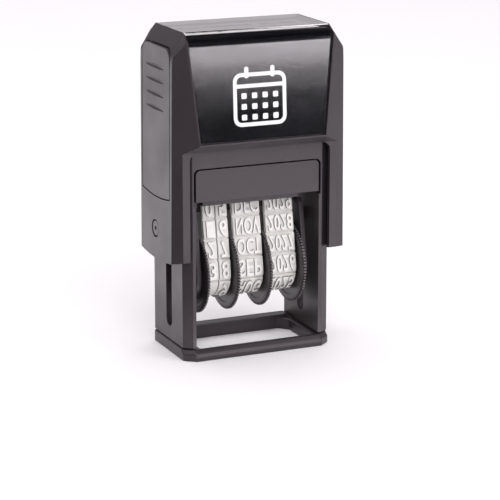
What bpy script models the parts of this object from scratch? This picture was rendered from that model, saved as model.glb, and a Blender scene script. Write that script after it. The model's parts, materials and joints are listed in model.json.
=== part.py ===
"""Self-inking rotary date stamp: a pressed cap, a fixed frame on a foot, and a carriage of four date
bands that turns over between the ink pad and the paper. Metres, +Z up, front at -Y, standing on Z = 0."""
import math

import bmesh
import bpy
from mathutils import Matrix, Vector

MM = 0.001

# Mechanism (millimetres, with Y measured from the plane that holds the pivot and the wheel axle)
PIVOT_Z = 28.9          # pivot pins with the cap up
AXLE_Z = 18.0           # wheel axle with the cap up
CENTRE_Y = 0.56         # pivot plane ahead of the middle of the whole stamp, so the origin is centred
CLEAR = 0.3             # gap left between neighbouring pieces

# Foot and frame
FOOT_TOP = 2.6
FOOT_BAR_TOP = 3.35
FOOT_HALF_WIDTH = 17.85
FRAME_HALF_WIDTH = 17.7
FRAME_INNER = 14.9
FRAME_FRONT, FRAME_REAR = -9.44, 8.95
FRAME_TOP = 48.9
WINDOW_TOP = 35.9       # top of the open window that the carriage turns in
PAD_FLOOR, PAD_ROOF = 37.0, 43.5
TRAY_FLOOR = 44.4       # seat of the return spring
SLOT_HALF, SLOT_BOTTOM, SLOT_TOP = 1.65, 5.9, 30.6
PIN_RADIUS, PIN_HEAD_RADIUS = 1.4, 1.75

# Cap
CAP_HALF_WIDTH = 20.5   # at CAP_DRAFT_Z
CAP_DRAFT, CAP_DRAFT_Z = 0.01, 60.0
CAP_TOP = 73.58
CAP_TOP_HALF_WIDTH = 17.26
CAP_CEILING = 70.6
CAP_EDGE_Z = 47.5       # lower edge of the front and rear walls
ARM_FRONT, ARM_REAR = -10.95, 10.15
ARM_BOTTOM = 22.1
ARM_INNER = 16.85       # half width of the front opening
CAVITY_HALF_WIDTH = 18.1
CAVITY_FRONT, CAVITY_REAR = -9.85, 9.25
COVER_THICKNESS = 0.7
COVER_GAP = 0.15
COVER_BOTTOM = 49.6
COVER_LINE = [(-12.76, COVER_BOTTOM), (-11.47, 71.64), (-8.92, CAP_TOP), (7.5, CAP_TOP), (10.38, 71.64),
              (11.67, COVER_BOTTOM)]
SIDE_FRONT, SIDE_REAR, FACET_SLOPE = -9.69, 8.6, 0.54

# Carriage
CHEEK_INNER, CHEEK_OUTER = 12.45, 13.5
DISC_RADIUS, DISC_THICKNESS = 9.4, 0.7
HUB_RADIUS, BORE_RADIUS, AXLE_RADIUS = 4.55, 1.3, 1.0
BAND_CORE_RADIUS = 5.2  # middle of the band's backing on its wheel
BAND_CORE_TOP = 35.4
BAND_CORE_HALF_TOP = 2.35
BAND_CORNER = 0.7
BACKING = 0.7
BLOCK_HEIGHT = 0.45
BLOCKS = 12
BLOCK_GAP = 0.45
BANDS = {"tens": (-10.95, -8.05), "units": (-7.75, -5.05), "month": (-3.75, 2.9), "year": (4.2, 11.05)}
WHEELS = {"tens": (-12.05, -8.05, "low"), "units": (-7.75, -4.05, "high"), "month": (-3.75, 3.9, "high"),
          "year": (4.2, 12.05, "high")}

BLACK = (0.030, 0.028, 0.030)


def clear_scene():
    for thing in list(bpy.data.objects):
        bpy.data.objects.remove(thing, do_unlink=True)


clear_scene()
PARTS = bpy.data.collections.new("rotary_date_stamp")
CUTTERS = bpy.data.collections.new("cutters")
bpy.context.scene.collection.children.link(PARTS)
bpy.context.scene.collection.children.link(CUTTERS)


def empty(name, location, parent=None):
    """An empty at a place given in millimetres, relative to its parent."""
    point = bpy.data.objects.new(name, None)
    point.empty_display_size = 5 * MM
    point.location = [v * MM for v in location]
    point.parent = parent
    PARTS.objects.link(point)
    return point


ORIGIN = empty("stamp_origin", (0, CENTRE_Y, 0))
PIVOT = empty("pivot_axis", (0, 0, PIVOT_Z), ORIGIN)
AXLE = empty("wheel_axis", (0, 0, AXLE_Z), ORIGIN)
JOINT_POINTS = {None: (0, 0, 0), PIVOT: (0, 0, PIVOT_Z), AXLE: (0, 0, AXLE_Z)}


def material(name, colour, roughness, metallic=0.0, alpha=1.0):
    made = bpy.data.materials.new(name)
    made.use_nodes = True
    shader = made.node_tree.nodes["Principled BSDF"]
    shader.inputs["Base Color"].default_value = (*colour, 1)
    shader.inputs["Roughness"].default_value = roughness
    shader.inputs["Metallic"].default_value = metallic
    shader.inputs["Alpha"].default_value = alpha
    return made


SATIN_BLACK = material("satin_black_plastic", BLACK, 0.42)
GRIP_BLACK = material("soft_grip_plastic", (0.045, 0.042, 0.045), 0.6)
WHEEL_BLACK = material("wheel_plastic", (0.022, 0.021, 0.022), 0.4)
CLEAR_PLASTIC = material("clear_cover_plastic", (0.9, 0.92, 0.93), 0.05, alpha=0.3)
CARD = material("white_card", (0.86, 0.86, 0.84), 0.7)
BAND_RUBBER = material("band_rubber", (0.80, 0.78, 0.74), 0.55)
INK_FOAM = material("inked_foam", (0.012, 0.012, 0.02), 0.85)
STEEL = material("steel", (0.62, 0.62, 0.60), 0.3, 1.0)


def place(thing, finish=None, parent=None):
    """Link a piece to the parts, or to the cutters when it has no finish, and hang it on its joint's empty."""
    if finish is None:
        CUTTERS.objects.link(thing)
        thing.hide_render = True
        thing.display_type = "WIRE"
    else:
        PARTS.objects.link(thing)
        thing.data.materials.append(finish)
    anchor = JOINT_POINTS[parent]
    thing.data.transform(Matrix.Translation([-v * MM for v in anchor]))
    thing.parent = parent or ORIGIN
    return thing


TURNS = {
    "X": Matrix(((0, 0, 1), (1, 0, 0), (0, 1, 0))).to_4x4(),
    "Y": Matrix(((1, 0, 0), (0, 0, -1), (0, 1, 0))).to_4x4(),
    "Z": Matrix.Identity(4),
}


def plate(name, axis, outlines, low, high, finish=None, parent=None):
    """Flat outlines in millimetres, filled and extruded from low to high along X, Y or Z.
    The outline's two numbers are (Y, Z) for X, (X, Z) for Y and (X, Y) for Z."""
    curve = bpy.data.curves.new(name, "CURVE")
    curve.dimensions = "2D"
    curve.fill_mode = "BOTH"
    curve.extrude = (high - low) / 2 * MM
    for outline in outlines:
        spline = curve.splines.new("POLY")
        spline.points.add(len(outline) - 1)
        for point, (a, b) in zip(spline.points, outline):
            point.co = (a * MM, b * MM, 0, 1)
        spline.use_cyclic_u = True
    flat = bpy.data.objects.new(name + "_curve", curve)
    bpy.context.scene.collection.objects.link(flat)
    graph = bpy.context.evaluated_depsgraph_get()
    mesh = bpy.data.meshes.new_from_object(flat.evaluated_get(graph))
    bpy.data.objects.remove(flat)
    bpy.data.curves.remove(curve)
    middle = (low + high) / 2 * MM
    turn = TURNS[axis]
    shift = turn @ Matrix.Translation((0, 0, -middle if axis == "Y" else middle))
    mesh.transform(shift)
    weld = bmesh.new()
    weld.from_mesh(mesh)
    bmesh.ops.remove_doubles(weld, verts=weld.verts, dist=1e-6)
    bmesh.ops.recalc_face_normals(weld, faces=weld.faces)
    weld.to_mesh(mesh)
    weld.free()
    return place(bpy.data.objects.new(name, mesh), finish, parent)


def box(name, x, y, z, finish=None, parent=None):
    """A box from three (low, high) pairs."""
    corners = [(x[0], y[0]), (x[1], y[0]), (x[1], y[1]), (x[0], y[1])]
    return plate(name, "Z", [corners], z[0], z[1], finish, parent)


def turned(name, profile, closed, finish=None, parent=None, steps=48, axis="X", centre=(0, 0)):
    """A profile of (radius, height) points turned about a line along X or Z; its outer side runs top to
    bottom. The centre is (Y, Z) for X and (X, Y) for Z."""
    work = bmesh.new()
    points = [work.verts.new((r * MM, 0, h * MM)) for r, h in profile]
    for a, b in zip(points, points[1:]):
        work.edges.new((a, b))
    if closed:
        work.edges.new((points[-1], points[0]))
    mesh = bpy.data.meshes.new(name)
    work.to_mesh(mesh)
    work.free()
    spun = bpy.data.objects.new(name + "_profile", mesh)
    bpy.context.scene.collection.objects.link(spun)
    screw = spun.modifiers.new("turn", "SCREW")
    screw.steps = screw.render_steps = steps
    screw.use_merge_vertices = True
    screw.merge_threshold = 0.00001
    screw.use_smooth_shade = True
    graph = bpy.context.evaluated_depsgraph_get()
    solid = bpy.data.meshes.new_from_object(spun.evaluated_get(graph))
    bpy.data.objects.remove(spun)
    turn = Matrix.Rotation(math.pi / 2, 4, "Y") if axis == "X" else Matrix.Identity(4)
    spot = (0, centre[0], centre[1]) if axis == "X" else (centre[0], centre[1], 0)
    solid.transform(Matrix.Translation([v * MM for v in spot]) @ turn)
    solid.set_sharp_from_angle(angle=math.radians(40))
    return place(bpy.data.objects.new(name, solid), finish, parent)


def rod(name, radius, low, high, axis="X", centre=(0, 0), finish=None, parent=None, steps=32):
    profile = [(0, high), (radius, high), (radius, low), (0, low)]
    return turned(name, profile, False, finish, parent, steps, axis, centre)


def combine(target, cutter, operation="DIFFERENCE"):
    change = target.modifiers.new(cutter.name, "BOOLEAN")
    change.operation = operation
    change.solver = "EXACT"
    change.object = cutter


def cut(target, *cutters):
    for cutter in cutters:
        combine(target, cutter)


def arc(centre, radius, start, end, steps):
    """Points on a circle between two angles in degrees."""
    angles = [math.radians(start + (end - start) * i / steps) for i in range(steps + 1)]
    return [(centre[0] + radius * math.cos(a), centre[1] + radius * math.sin(a)) for a in angles]


def mirrored(points):
    """Points of a right half, followed by their mirror images back along the left half."""
    return points + [(-x, y) for x, y in reversed(points)]


def offset_line(points, distance):
    """An open line moved to its right-hand side by a distance, with its corners kept sharp."""
    moved = []
    for i, (x, y) in enumerate(points):
        before = points[max(i - 1, 0)], points[max(i, 1)]
        after = points[min(i, len(points) - 2)], points[min(i + 1, len(points) - 1)]
        normals = []
        for (ax, ay), (bx, by) in (before, after):
            length = math.hypot(bx - ax, by - ay)
            normals.append(((by - ay) / length, -(bx - ax) / length))
        mx, my = normals[0][0] + normals[1][0], normals[0][1] + normals[1][1]
        scale = 2 * distance / (mx * mx + my * my)
        moved.append((x + mx * scale, y + my * scale))
    return moved


class Loop:
    """A belt's line round circles of (Y, Z, radius), given in order as seen with +Y right and +Z up,
    anticlockwise. It starts at the middle of the straight stretch before the first circle."""

    def __init__(self, circles):
        self.pieces = []
        turns = []
        count = len(circles)
        for i in range(count):
            (y0, z0, r0), (y1, z1, r1) = circles[i], circles[(i + 1) % count]
            heading = math.atan2(z1 - z0, y1 - y0)
            lean = math.acos((r0 - r1) / math.hypot(y1 - y0, z1 - z0))
            turns.append(heading - lean)
        for i in range(count):
            y, z, r = circles[i]
            start, end = turns[i - 1], turns[i]
            end += 2 * math.pi * math.ceil((start - end) / (2 * math.pi))
            y1, z1, r1 = circles[(i + 1) % count]
            leave = (y + r * math.cos(end), z + r * math.sin(end))
            arrive = (y1 + r1 * math.cos(end), z1 + r1 * math.sin(end))
            self.pieces.append(("arc", r * (end - start), (y, z, r, start, end)))
            self.pieces.append(("line", math.dist(leave, arrive), (leave, arrive, end)))
        last = self.pieces[-1][1]
        self.length = sum(piece[1] for piece in self.pieces)
        self.start = self.length - last / 2

    def at(self, distance, offset):
        """The point at a distance along the loop, moved outwards by an offset."""
        left = (self.start + distance) % self.length
        for kind, length, data in self.pieces:
            if left <= length:
                break
            left -= length
        share = left / length
        if kind == "arc":
            y, z, r, start, end = data
            angle = start + (end - start) * share
            return y + (r + offset) * math.cos(angle), z + (r + offset) * math.sin(angle)
        (y0, z0), (y1, z1), angle = data
        return (y0 + (y1 - y0) * share + offset * math.cos(angle),
                z0 + (z1 - z0) * share + offset * math.sin(angle))

    def marks(self):
        """Distances at which the loop bends: the ends of its arcs and steps round them."""
        found, walked = [], -self.start
        for kind, length, data in self.pieces:
            steps = max(2, round(length / 1.2)) if kind == "arc" else 1
            found += [(walked + length * i / steps) % self.length for i in range(steps)]
            walked += length
        return found


def band_loop():
    corner_y, corner_z = BAND_CORE_HALF_TOP - BAND_CORNER, BAND_CORE_TOP - BAND_CORNER
    return Loop([(-corner_y, corner_z, BAND_CORNER), (0, AXLE_Z, BAND_CORE_RADIUS),
                 (corner_y, corner_z, BAND_CORNER)])


def make_foot():
    outline = mirrored([(15.4, -10.65), (FOOT_HALF_WIDTH, -8.6), (FOOT_HALF_WIDTH, 8.9), (15.4, 10.9)])
    opening = mirrored([(13.8, -8.85), (13.8, 3.6), (11.8, 5.8)])
    foot = plate("base_foot", "Z", [outline, opening], 0, FOOT_TOP, SATIN_BLACK)
    bar = box("rear_bar", (-14.55, 14.55), (5.8, 8.9), (FOOT_TOP - 1, FOOT_BAR_TOP))
    combine(foot, bar, "UNION")


def make_frame():
    corner = 15.7
    outline = mirrored([(corner, FRAME_FRONT), (FRAME_HALF_WIDTH, -8.09), (FRAME_HALF_WIDTH, FRAME_REAR)])
    frame = plate("frame_body", "Z", [outline], FOOT_TOP + CLEAR, FRAME_TOP, SATIN_BLACK)
    through, rounded, mouth_side = 20, 1.2, 15.3
    mouth = mirrored([(mouth_side, 35.4)] + arc((mouth_side - rounded, PAD_ROOF - rounded), rounded, 0, 90, 4))
    slot = (arc((0, SLOT_BOTTOM + SLOT_HALF), SLOT_HALF, 180, 360, 10)
            + arc((0, SLOT_TOP - SLOT_HALF), SLOT_HALF, 0, 180, 10))
    lean = [(FRAME_REAR + 1, 44.5), (FRAME_REAR, 44.5), (7.4, FRAME_TOP + 1), (FRAME_REAR + 1, FRAME_TOP + 1)]
    cut(frame,
        box("carriage_window", (-FRAME_INNER, FRAME_INNER), (-through, through), (0, WINDOW_TOP)),
        box("rail_gap", (-13.7, 13.7), (-through, 7.6), (WINDOW_TOP - 1, PAD_FLOOR + 1)),
        box("pad_space", (-mouth_side, mouth_side), (-through, 7.6), (PAD_FLOOR, PAD_ROOF - rounded)),
        plate("pad_mouth", "Y", [mouth], -through, -7.8),
        box("spring_tray", (-15.9, 15.9), (-8.0, 6.4), (TRAY_FLOOR, FRAME_TOP + 5)),
        plate("pin_slots", "X", [slot], -25, 25),
        plate("rear_lean", "X", [lean], -25, 25))
    combine(frame, rod("spring_peg", 2.4, TRAY_FLOOR - 0.5, 48.2, "Z"), "UNION")


def cap_half_width(z):
    return CAP_HALF_WIDTH + CAP_DRAFT * (CAP_DRAFT_Z - z)


def cap_front_view():
    """The cap's outline seen from the front, with drafted sides and sloping, rounded shoulders."""
    shoulder = [(cap_half_width(65.5), 65.5), (20.36, 67.7), (20.05, 69.3), (19.4, 70.6)]
    return mirrored([(cap_half_width(15), 15)] + shoulder + [(CAP_TOP_HALF_WIDTH, CAP_TOP)])


def cap_top_view():
    """The cap's outline seen from above: flat sides with a facet down each corner."""
    edge, reach, wide = cap_half_width(ARM_BOTTOM), 14.0, 22.0
    past = (wide - edge) * FACET_SLOPE
    return mirrored([(edge - (reach + SIDE_FRONT) / FACET_SLOPE, -reach), (wide, SIDE_FRONT + past),
                     (wide, SIDE_REAR - past), (edge - (reach - SIDE_REAR) / FACET_SLOPE, reach)])


def cover_front_view(grow=0.0):
    """The clear cover's outline seen from the front, narrower towards its lower edge."""
    return mirrored([(14.84 + grow, COVER_BOTTOM - grow), (17.1 + grow, 71.64), (17.1 + grow, CAP_TOP + 5)])


def opening_outline(half_width):
    radius = 1.8
    return mirrored([(half_width, 15)] + arc((half_width - radius, CAP_EDGE_Z - radius), radius, 0, 90, 4))


def grip_outline(grow=0.0):
    """The side panel's outline in (Y, Z), with round upper corners and a bowed lower edge."""
    front, rear, top, radius = -8.45 - grow, 7.6 + grow, 69.75 + grow, 2.6 + grow
    bow_radius = 46.0
    bow_half = math.degrees(math.asin((rear - front) / 2 / bow_radius))
    middle = (front + rear) / 2
    bottom = arc((middle, 36.25 - grow + bow_radius), bow_radius, 270 - bow_half, 270 + bow_half, 8)
    return bottom + arc((rear - radius, top - radius), radius, 0, 90, 5) + arc(
        (front + radius, top - radius), radius, 90, 180, 5)


def side_plate(name, side, grow, depth, finish=None):
    """A plate sunk into the cap's side wall, tilted with its draft."""
    faces = (CAP_HALF_WIDTH - depth, CAP_HALF_WIDTH if finish else CAP_HALF_WIDTH + 2)
    low, high = faces if side > 0 else (-faces[1], -faces[0])
    made = plate(name, "X", [grip_outline(grow)], low, high, finish)
    lift = Matrix.Translation((0, 0, CAP_DRAFT_Z * MM))
    made.data.transform(lift @ Matrix.Rotation(math.atan(CAP_DRAFT) * -side, 4, "Y") @ lift.inverted())
    return made


def arm_floor():
    """Everything below the arms' gently bowed lower edges."""
    bow_radius, half = 55.0, 14.0
    spread = math.degrees(math.asin(half / bow_radius))
    bow = arc((-0.5, ARM_BOTTOM + bow_radius), bow_radius, 270 - spread, 270 + spread, 12)
    return [(half, 10.0), (-half, 10.0)] + bow


def corner_planes():
    """Blocks that plane the shell's four top corners, between each sloping shoulder and its facet."""
    blocks = []
    for side in (-1, 1):
        for name, end, edge in (("front", -1, COVER_LINE[2][0]), ("rear", 1, COVER_LINE[3][0])):
            normal = Vector((side * 0.793, end * 0.301, 0.529)).normalized()
            corner = Vector((side * CAP_TOP_HALF_WIDTH, edge, CAP_TOP))
            block = box(f"corner_{name}_{'left' if side < 0 else 'right'}", (-12, 12), (-12, 12), (0, 9))
            turn = normal.to_track_quat("Z", "Y").to_matrix().to_4x4()
            block.data.transform(Matrix.Translation(corner * MM) @ turn)
            blocks.append(block)
    return blocks


def make_shell():
    lip = COVER_BOTTOM - 0.45
    front, rear = COVER_LINE[0][0], COVER_LINE[-1][0]
    side_view = ([(ARM_FRONT, 15), (ARM_FRONT, CAP_EDGE_Z), (front, lip)] + COVER_LINE
                 + [(rear, lip), (ARM_REAR, CAP_EDGE_Z), (ARM_REAR, 15)])
    shell = plate("cap_shell", "X", [side_view], -24, 24, SATIN_BLACK)
    combine(shell, plate("shell_front_view", "Y", [cap_front_view()], -20, 20), "INTERSECT")
    combine(shell, plate("shell_top_view", "Z", [cap_top_view()], 10, 80), "INTERSECT")
    inside = mirrored([(16.75, CAVITY_FRONT), (CAVITY_HALF_WIDTH, -8.75), (CAVITY_HALF_WIDTH, CAVITY_REAR)])
    cavity = plate("cap_cavity", "Z", [inside], 10, CAP_CEILING)
    cavity_side = [(CAVITY_FRONT - 1, 5), (CAVITY_REAR, 5), (CAVITY_REAR, 65.9), (7.9, 75), (CAVITY_FRONT - 1, 75)]
    combine(cavity, plate("cavity_side_view", "X", [cavity_side], -25, 25), "INTERSECT")
    floor = offset_line(COVER_LINE, COVER_THICKNESS + COVER_GAP)
    pocket = plate("cover_pocket", "Y", [cover_front_view(COVER_GAP)], -20, 20)
    inner = [(floor[0][0], 35)] + floor + [(floor[-1][0], 35)]
    combine(pocket, plate("cover_pocket_floor", "X", [inner], -30, 30))
    cut(shell, cavity, pocket, *corner_planes(),
        plate("front_opening", "Y", [opening_outline(ARM_INNER)], -20, 0),
        plate("rear_opening", "Y", [opening_outline(CAVITY_HALF_WIDTH)], 0, 20),
        plate("arm_floor", "X", [arm_floor()], -25, 25),
        rod("pin_bores", 2.05, -25, 25, centre=(0, PIVOT_Z)),
        box("card_pocket", (-16.5, 16.5), (-7.9, 6.5), (72.0, CAP_TOP)),
        side_plate("left_grip_pocket", -1, CLEAR, 1.1),
        side_plate("right_grip_pocket", 1, CLEAR, 1.1))
    cup = [(5.2, CAP_CEILING + 0.4), (5.2, 65.9), (4.3, 65.9), (4.3, CAP_CEILING + 0.4)]
    combine(shell, turned("spring_cup", cup, True, axis="Z"), "UNION")


def make_cap_fittings():
    """The clear cover over the cap's front, top and back, the card under it and the two side grips."""
    line = COVER_LINE + list(reversed(offset_line(COVER_LINE, COVER_THICKNESS)))
    cover = plate("index_cover", "X", [line], -24, 24, CLEAR_PLASTIC)
    combine(cover, plate("cover_front_view", "Y", [cover_front_view()], -20, 20), "INTERSECT")
    box("imprint_card", (-16.2, 16.2), (-7.6, 6.2), (72.2, 72.6), CARD)
    side_plate("side_grip_left", -1, 0, 0.8, GRIP_BLACK)
    side_plate("side_grip_right", 1, 0, 0.8, GRIP_BLACK)


def make_spring():
    """The return spring between the frame's tray and the cap, as a helix with closed ends."""
    wire, radius, coils, per_turn = 0.7, 3.5, 8, 14
    low, high = TRAY_FLOOR + CLEAR + wire / 2, CAP_CEILING - CLEAR - wire / 2
    count = coils * per_turn
    curve = bpy.data.curves.new("return_spring", "CURVE")
    curve.dimensions = "3D"
    curve.bevel_depth = wire / 2 * MM
    curve.bevel_resolution = 2
    curve.use_fill_caps = True
    spline = curve.splines.new("POLY")
    spline.points.add(count)
    dead = per_turn
    for i, point in enumerate(spline.points):
        angle = 2 * math.pi * i / per_turn
        end_rise = wire * 1.15
        if i < dead:
            height = low + end_rise * i / dead
        elif i > count - dead:
            height = high - end_rise * (count - i) / dead
        else:
            share = (i - dead) / (count - 2 * dead)
            height = low + end_rise + (high - low - 2 * end_rise) * share
        point.co = (radius * math.cos(angle) * MM, radius * math.sin(angle) * MM, height * MM, 1)
    return place(bpy.data.objects.new("return_spring", curve), STEEL)


def make_pad():
    side, front, rounded = 14.85, -9.45, 1.0
    face = mirrored([(side, 36.05)] + arc((side - rounded, 43.2 - rounded), rounded, 0, 90, 4))
    cassette = plate("pad_cassette", "Y", [face], front, -8.1, SATIN_BLACK)
    tray = box("pad_tray", (-15.0, 15.0), (-8.2, 7.3), (PAD_FLOOR + CLEAR, PAD_ROOF - CLEAR - 1.2))
    combine(cassette, tray, "UNION")
    cut(cassette, box("pad_recess", (-13.2, 13.2), (-7.1, 6.5), (30, 41.0)))
    box("ink_pad", (-12.9, 12.9), (-6.8, 6.2), (36.55, 40.7), INK_FOAM)


def make_cheek(name, side):
    outline = Loop([(0, AXLE_Z, 6.6), (0, 30.6, 4.3)])
    points = [outline.at(s, 0) for s in sorted(outline.marks())]
    low, high = sorted((side * CHEEK_INNER, side * CHEEK_OUTER))
    cheek = plate(name, "X", [points], low, high, SATIN_BLACK, PIVOT)
    ear = sorted((side * CHEEK_INNER, side * (CHEEK_INNER + 0.75)))
    combine(cheek, box(name + "_ear", ear, (-3.9, 3.2), (33.6, 35.3), parent=PIVOT), "UNION")
    cut(cheek,
        rod(name + "_pin_hole", PIN_RADIUS + CLEAR, low - 1, high + 1, centre=(0, PIVOT_Z), parent=PIVOT),
        rod(name + "_axle_hole", BORE_RADIUS, low - 1, high + 1, centre=(0, AXLE_Z), parent=PIVOT))


def make_pin(name, side):
    """A pivot pin: shaft through cheek and slot, and a dimpled head that turns in the cap's arm."""
    end, shoulder, start = 20.72, 18.35, 12.6
    dimple, depth = 0.45, 0.8
    profile = [(0, end - depth), (dimple, end - depth), (dimple, end), (PIN_HEAD_RADIUS, end),
               (PIN_HEAD_RADIUS, shoulder), (PIN_RADIUS, shoulder), (PIN_RADIUS, start), (0, start)]
    if side < 0:
        profile = [(r, -x) for r, x in reversed(profile)]
    turned(name, profile, False, WHEEL_BLACK, PIVOT, 32, centre=(0, PIVOT_Z))


def make_bridge():
    """The platen bar inside the bands' upper bend, fixed between the cheeks."""
    top = BAND_CORE_TOP - BACKING / 2 - CLEAR
    rounded = 0.5
    half = BAND_CORE_HALF_TOP - BACKING / 2 - CLEAR
    profile = mirrored([(1.7, 31.9)] + arc((half - rounded, top - rounded), rounded, 0, 90, 3))
    reach = CHEEK_INNER - CLEAR
    plate("type_bridge", "X", [profile], -reach, reach, SATIN_BLACK, PIVOT)


def make_text_plate():
    """The bar in front of the bands and the rubber line of text on it, beside the date's printing face."""
    box("text_holder", (-11.8, 11.8), (-5.5, -3.6), (34.1, 35.3), SATIN_BLACK, PIVOT)
    box("text_die", (-11.6, 11.6), (-5.4, -3.7), (35.5, 36.2), BAND_RUBBER, PIVOT)


def band_outlines(loop):
    """A band's outer outline with its type blocks, and its inner one."""
    pitch = loop.length / BLOCKS
    low, high = BACKING / 2, BACKING / 2 + BLOCK_HEIGHT
    bends = sorted(loop.marks())
    outer = []
    for block in range(BLOCKS):
        start, end = (block - 0.5) * pitch + BLOCK_GAP / 2, (block + 0.5) * pitch - BLOCK_GAP / 2
        inside = [s + turn for turn in (0, -loop.length) for s in bends if start < s + turn < end]
        outer.append(loop.at(start, low))
        outer += [loop.at(s, high) for s in [start] + sorted(inside) + [end]]
        outer.append(loop.at(end, low))
    inner = [loop.at(s, -low) for s in bends]
    return outer, inner


def make_bands():
    outlines = band_outlines(band_loop())
    for name, (low, high) in BANDS.items():
        plate(name + "_band", "X", outlines, low, high, BAND_RUBBER, PIVOT)


def make_wheels():
    """Each wheel is a hub inside its band with a thumb disc at one end."""
    for name, (low, high, disc_end) in WHEELS.items():
        inner = low + DISC_THICKNESS if disc_end == "low" else high - DISC_THICKNESS
        if disc_end == "low":
            profile = [(BORE_RADIUS, high), (HUB_RADIUS, high), (HUB_RADIUS, inner), (DISC_RADIUS, inner),
                       (DISC_RADIUS, low), (BORE_RADIUS, low)]
        else:
            profile = [(BORE_RADIUS, high), (DISC_RADIUS, high), (DISC_RADIUS, inner), (HUB_RADIUS, inner),
                       (HUB_RADIUS, low), (BORE_RADIUS, low)]
        turned(name + "_wheel", profile, True, WHEEL_BLACK, AXLE, 64, centre=(0, AXLE_Z))
    reach = CHEEK_OUTER - 0.1
    rod("wheel_axle", AXLE_RADIUS, -reach, reach, centre=(0, AXLE_Z), finish=STEEL, parent=AXLE)


make_foot()
make_frame()
make_shell()
make_cap_fittings()
make_spring()
make_pad()
make_cheek("cheek_left", -1)
make_cheek("cheek_right", 1)
make_pin("pivot_pin_left", -1)
make_pin("pivot_pin_right", 1)
make_bridge()
make_text_plate()
make_bands()
make_wheels()
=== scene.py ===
"""Looks of the self-inking date stamp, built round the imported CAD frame. Lengths are in metres."""
import json
import math

import bmesh
import bpy
from mathutils import Matrix, Vector


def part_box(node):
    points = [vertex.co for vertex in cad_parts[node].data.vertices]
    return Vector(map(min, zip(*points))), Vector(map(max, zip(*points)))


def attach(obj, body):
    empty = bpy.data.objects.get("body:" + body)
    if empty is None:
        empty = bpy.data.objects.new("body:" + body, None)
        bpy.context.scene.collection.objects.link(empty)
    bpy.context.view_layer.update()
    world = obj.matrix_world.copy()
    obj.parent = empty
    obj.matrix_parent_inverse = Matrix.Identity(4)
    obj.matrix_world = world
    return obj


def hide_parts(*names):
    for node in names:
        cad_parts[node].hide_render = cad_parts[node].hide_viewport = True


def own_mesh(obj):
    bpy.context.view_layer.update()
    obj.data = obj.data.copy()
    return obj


MM = 0.001

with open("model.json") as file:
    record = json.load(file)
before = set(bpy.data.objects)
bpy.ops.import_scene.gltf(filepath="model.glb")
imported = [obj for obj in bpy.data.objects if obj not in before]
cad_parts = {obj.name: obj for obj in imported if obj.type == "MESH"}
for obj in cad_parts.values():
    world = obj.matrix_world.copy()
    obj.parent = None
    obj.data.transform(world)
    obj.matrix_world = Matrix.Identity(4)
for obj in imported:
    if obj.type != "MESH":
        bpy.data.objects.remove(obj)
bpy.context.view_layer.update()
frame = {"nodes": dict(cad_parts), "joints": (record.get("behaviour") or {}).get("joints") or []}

NODES = frame["nodes"]
JOINTS = {joint["name"]: joint for joint in frame["joints"]}
PIVOT = Vector(JOINTS["carriage_flip"]["pos_m"])
AXLE = Vector(JOINTS["tens_spin"]["pos_m"])
SCENE = bpy.context.scene

# Camera: where the stamp is seen from, and the point that it looks at
CAMERA_PLACE = Vector((-0.17986, -0.41331 + PIVOT.y, 0.13969))
CAMERA_AIM = Vector((0.0022, PIVOT.y, 0.02143))
LENS = 147.7

# Light: each softbox's azimuth, distance, height, width, height of its face and brightness
WORLD = 0.3
TOP_BOX = (180, 0.35, 1.1, 1.9, 1.9, 1.35)
KEY_BOX = (-14, 0.7, 0.6, 0.5, 0.5, 4.8)
RIGHT_BOX = (32, 0.75, 0.42, 0.4, 0.3, 4.0)
STRIP_BOX = (22.4, 0.52, 0.053, 0.38, 0.034, 5.4)
BACK_BOX = (156, 1.1, 0.32, 1.2, 0.5, 0.11)
LIGHT_TINT = (1.0, 0.975, 0.997)
FLOOR_HALF = 6
FLOOR_DARK = (0.925, 0.915, 0.927)
FLOOR_LIGHT = (0.935, 0.925, 0.937)

# Cards that only show in reflections. On the floor: azimuths from and to, distances from and to, brightness
CARD_LIFT = 0.0015
FLOOR_CARDS = {
    "dark_floor_card": (-88, -12, 0.05, 0.6, 0),
    "far_floor_card": (-4, 50, 0.26, 0.54, 0),
    "front_bounce_card": (-4, 50, 0.05, 0.25, 2.5),
    "rear_bounce_card": (-178, -125, 0.05, 0.8, 1.55),
}
# Upright ones: azimuths from and to, distance, height of the upper edge
WALL_CARD = (-92, -38, 0.6, 0.2)
SKIRT_CARD = (STRIP_BOX[0] - 22, STRIP_BOX[0] + 22, 0.55, STRIP_BOX[2] - STRIP_BOX[4] / 2)
# In front of the foot: left, right, far and near edges, height, brightness
FOOT_CARD = (-0.018, 0.026, -0.024, -0.0115, 0.0006, 3.3)
# A dark arch over the cap's front edge: azimuth, radius, half length, height of its axis, shift ahead,
# first angle, step of the angle and number of steps
ARCH_CARDS = (45, 0.035, 0.05, 0.072, 0.010, 10, 20, 7)

# Bands: the line of the backing's middle, as in the CAD, and the type on it
CORE_RADIUS = 5.2 * MM
CORE_TOP = 35.4 * MM
CORE_HALF_TOP = 2.35 * MM
CORE_CORNER = 0.7 * MM
BACKING = 0.7 * MM
BLOCKS = 12
BLOCK_GAP = 0.45 * MM
BLOCK_HEIGHT = 0.42 * MM
BLOCK_EDGE = 0.1 * MM
TYPE_HEIGHT = 3.65 * MM
TYPE_RAISE = 0.45 * MM
TYPE_SINK = 0.1 * MM
LABELS = {
    "tens": (["", "0", "1", "2", "3", "", "0", "1", "2", "3", "", ""], 1.75 * MM),
    "units": (["4", "5", "6", "7", "8", "9", "0", "1", "2", "3", "", ""], 1.75 * MM),
    "month": ("JAN DEC NOV OCT SEP AUG JUL JUN MAY APR MAR FEB".split(), 5.7 * MM),
    "year": ([str(2030 - row) for row in range(BLOCKS)], 6.1 * MM),
}

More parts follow.
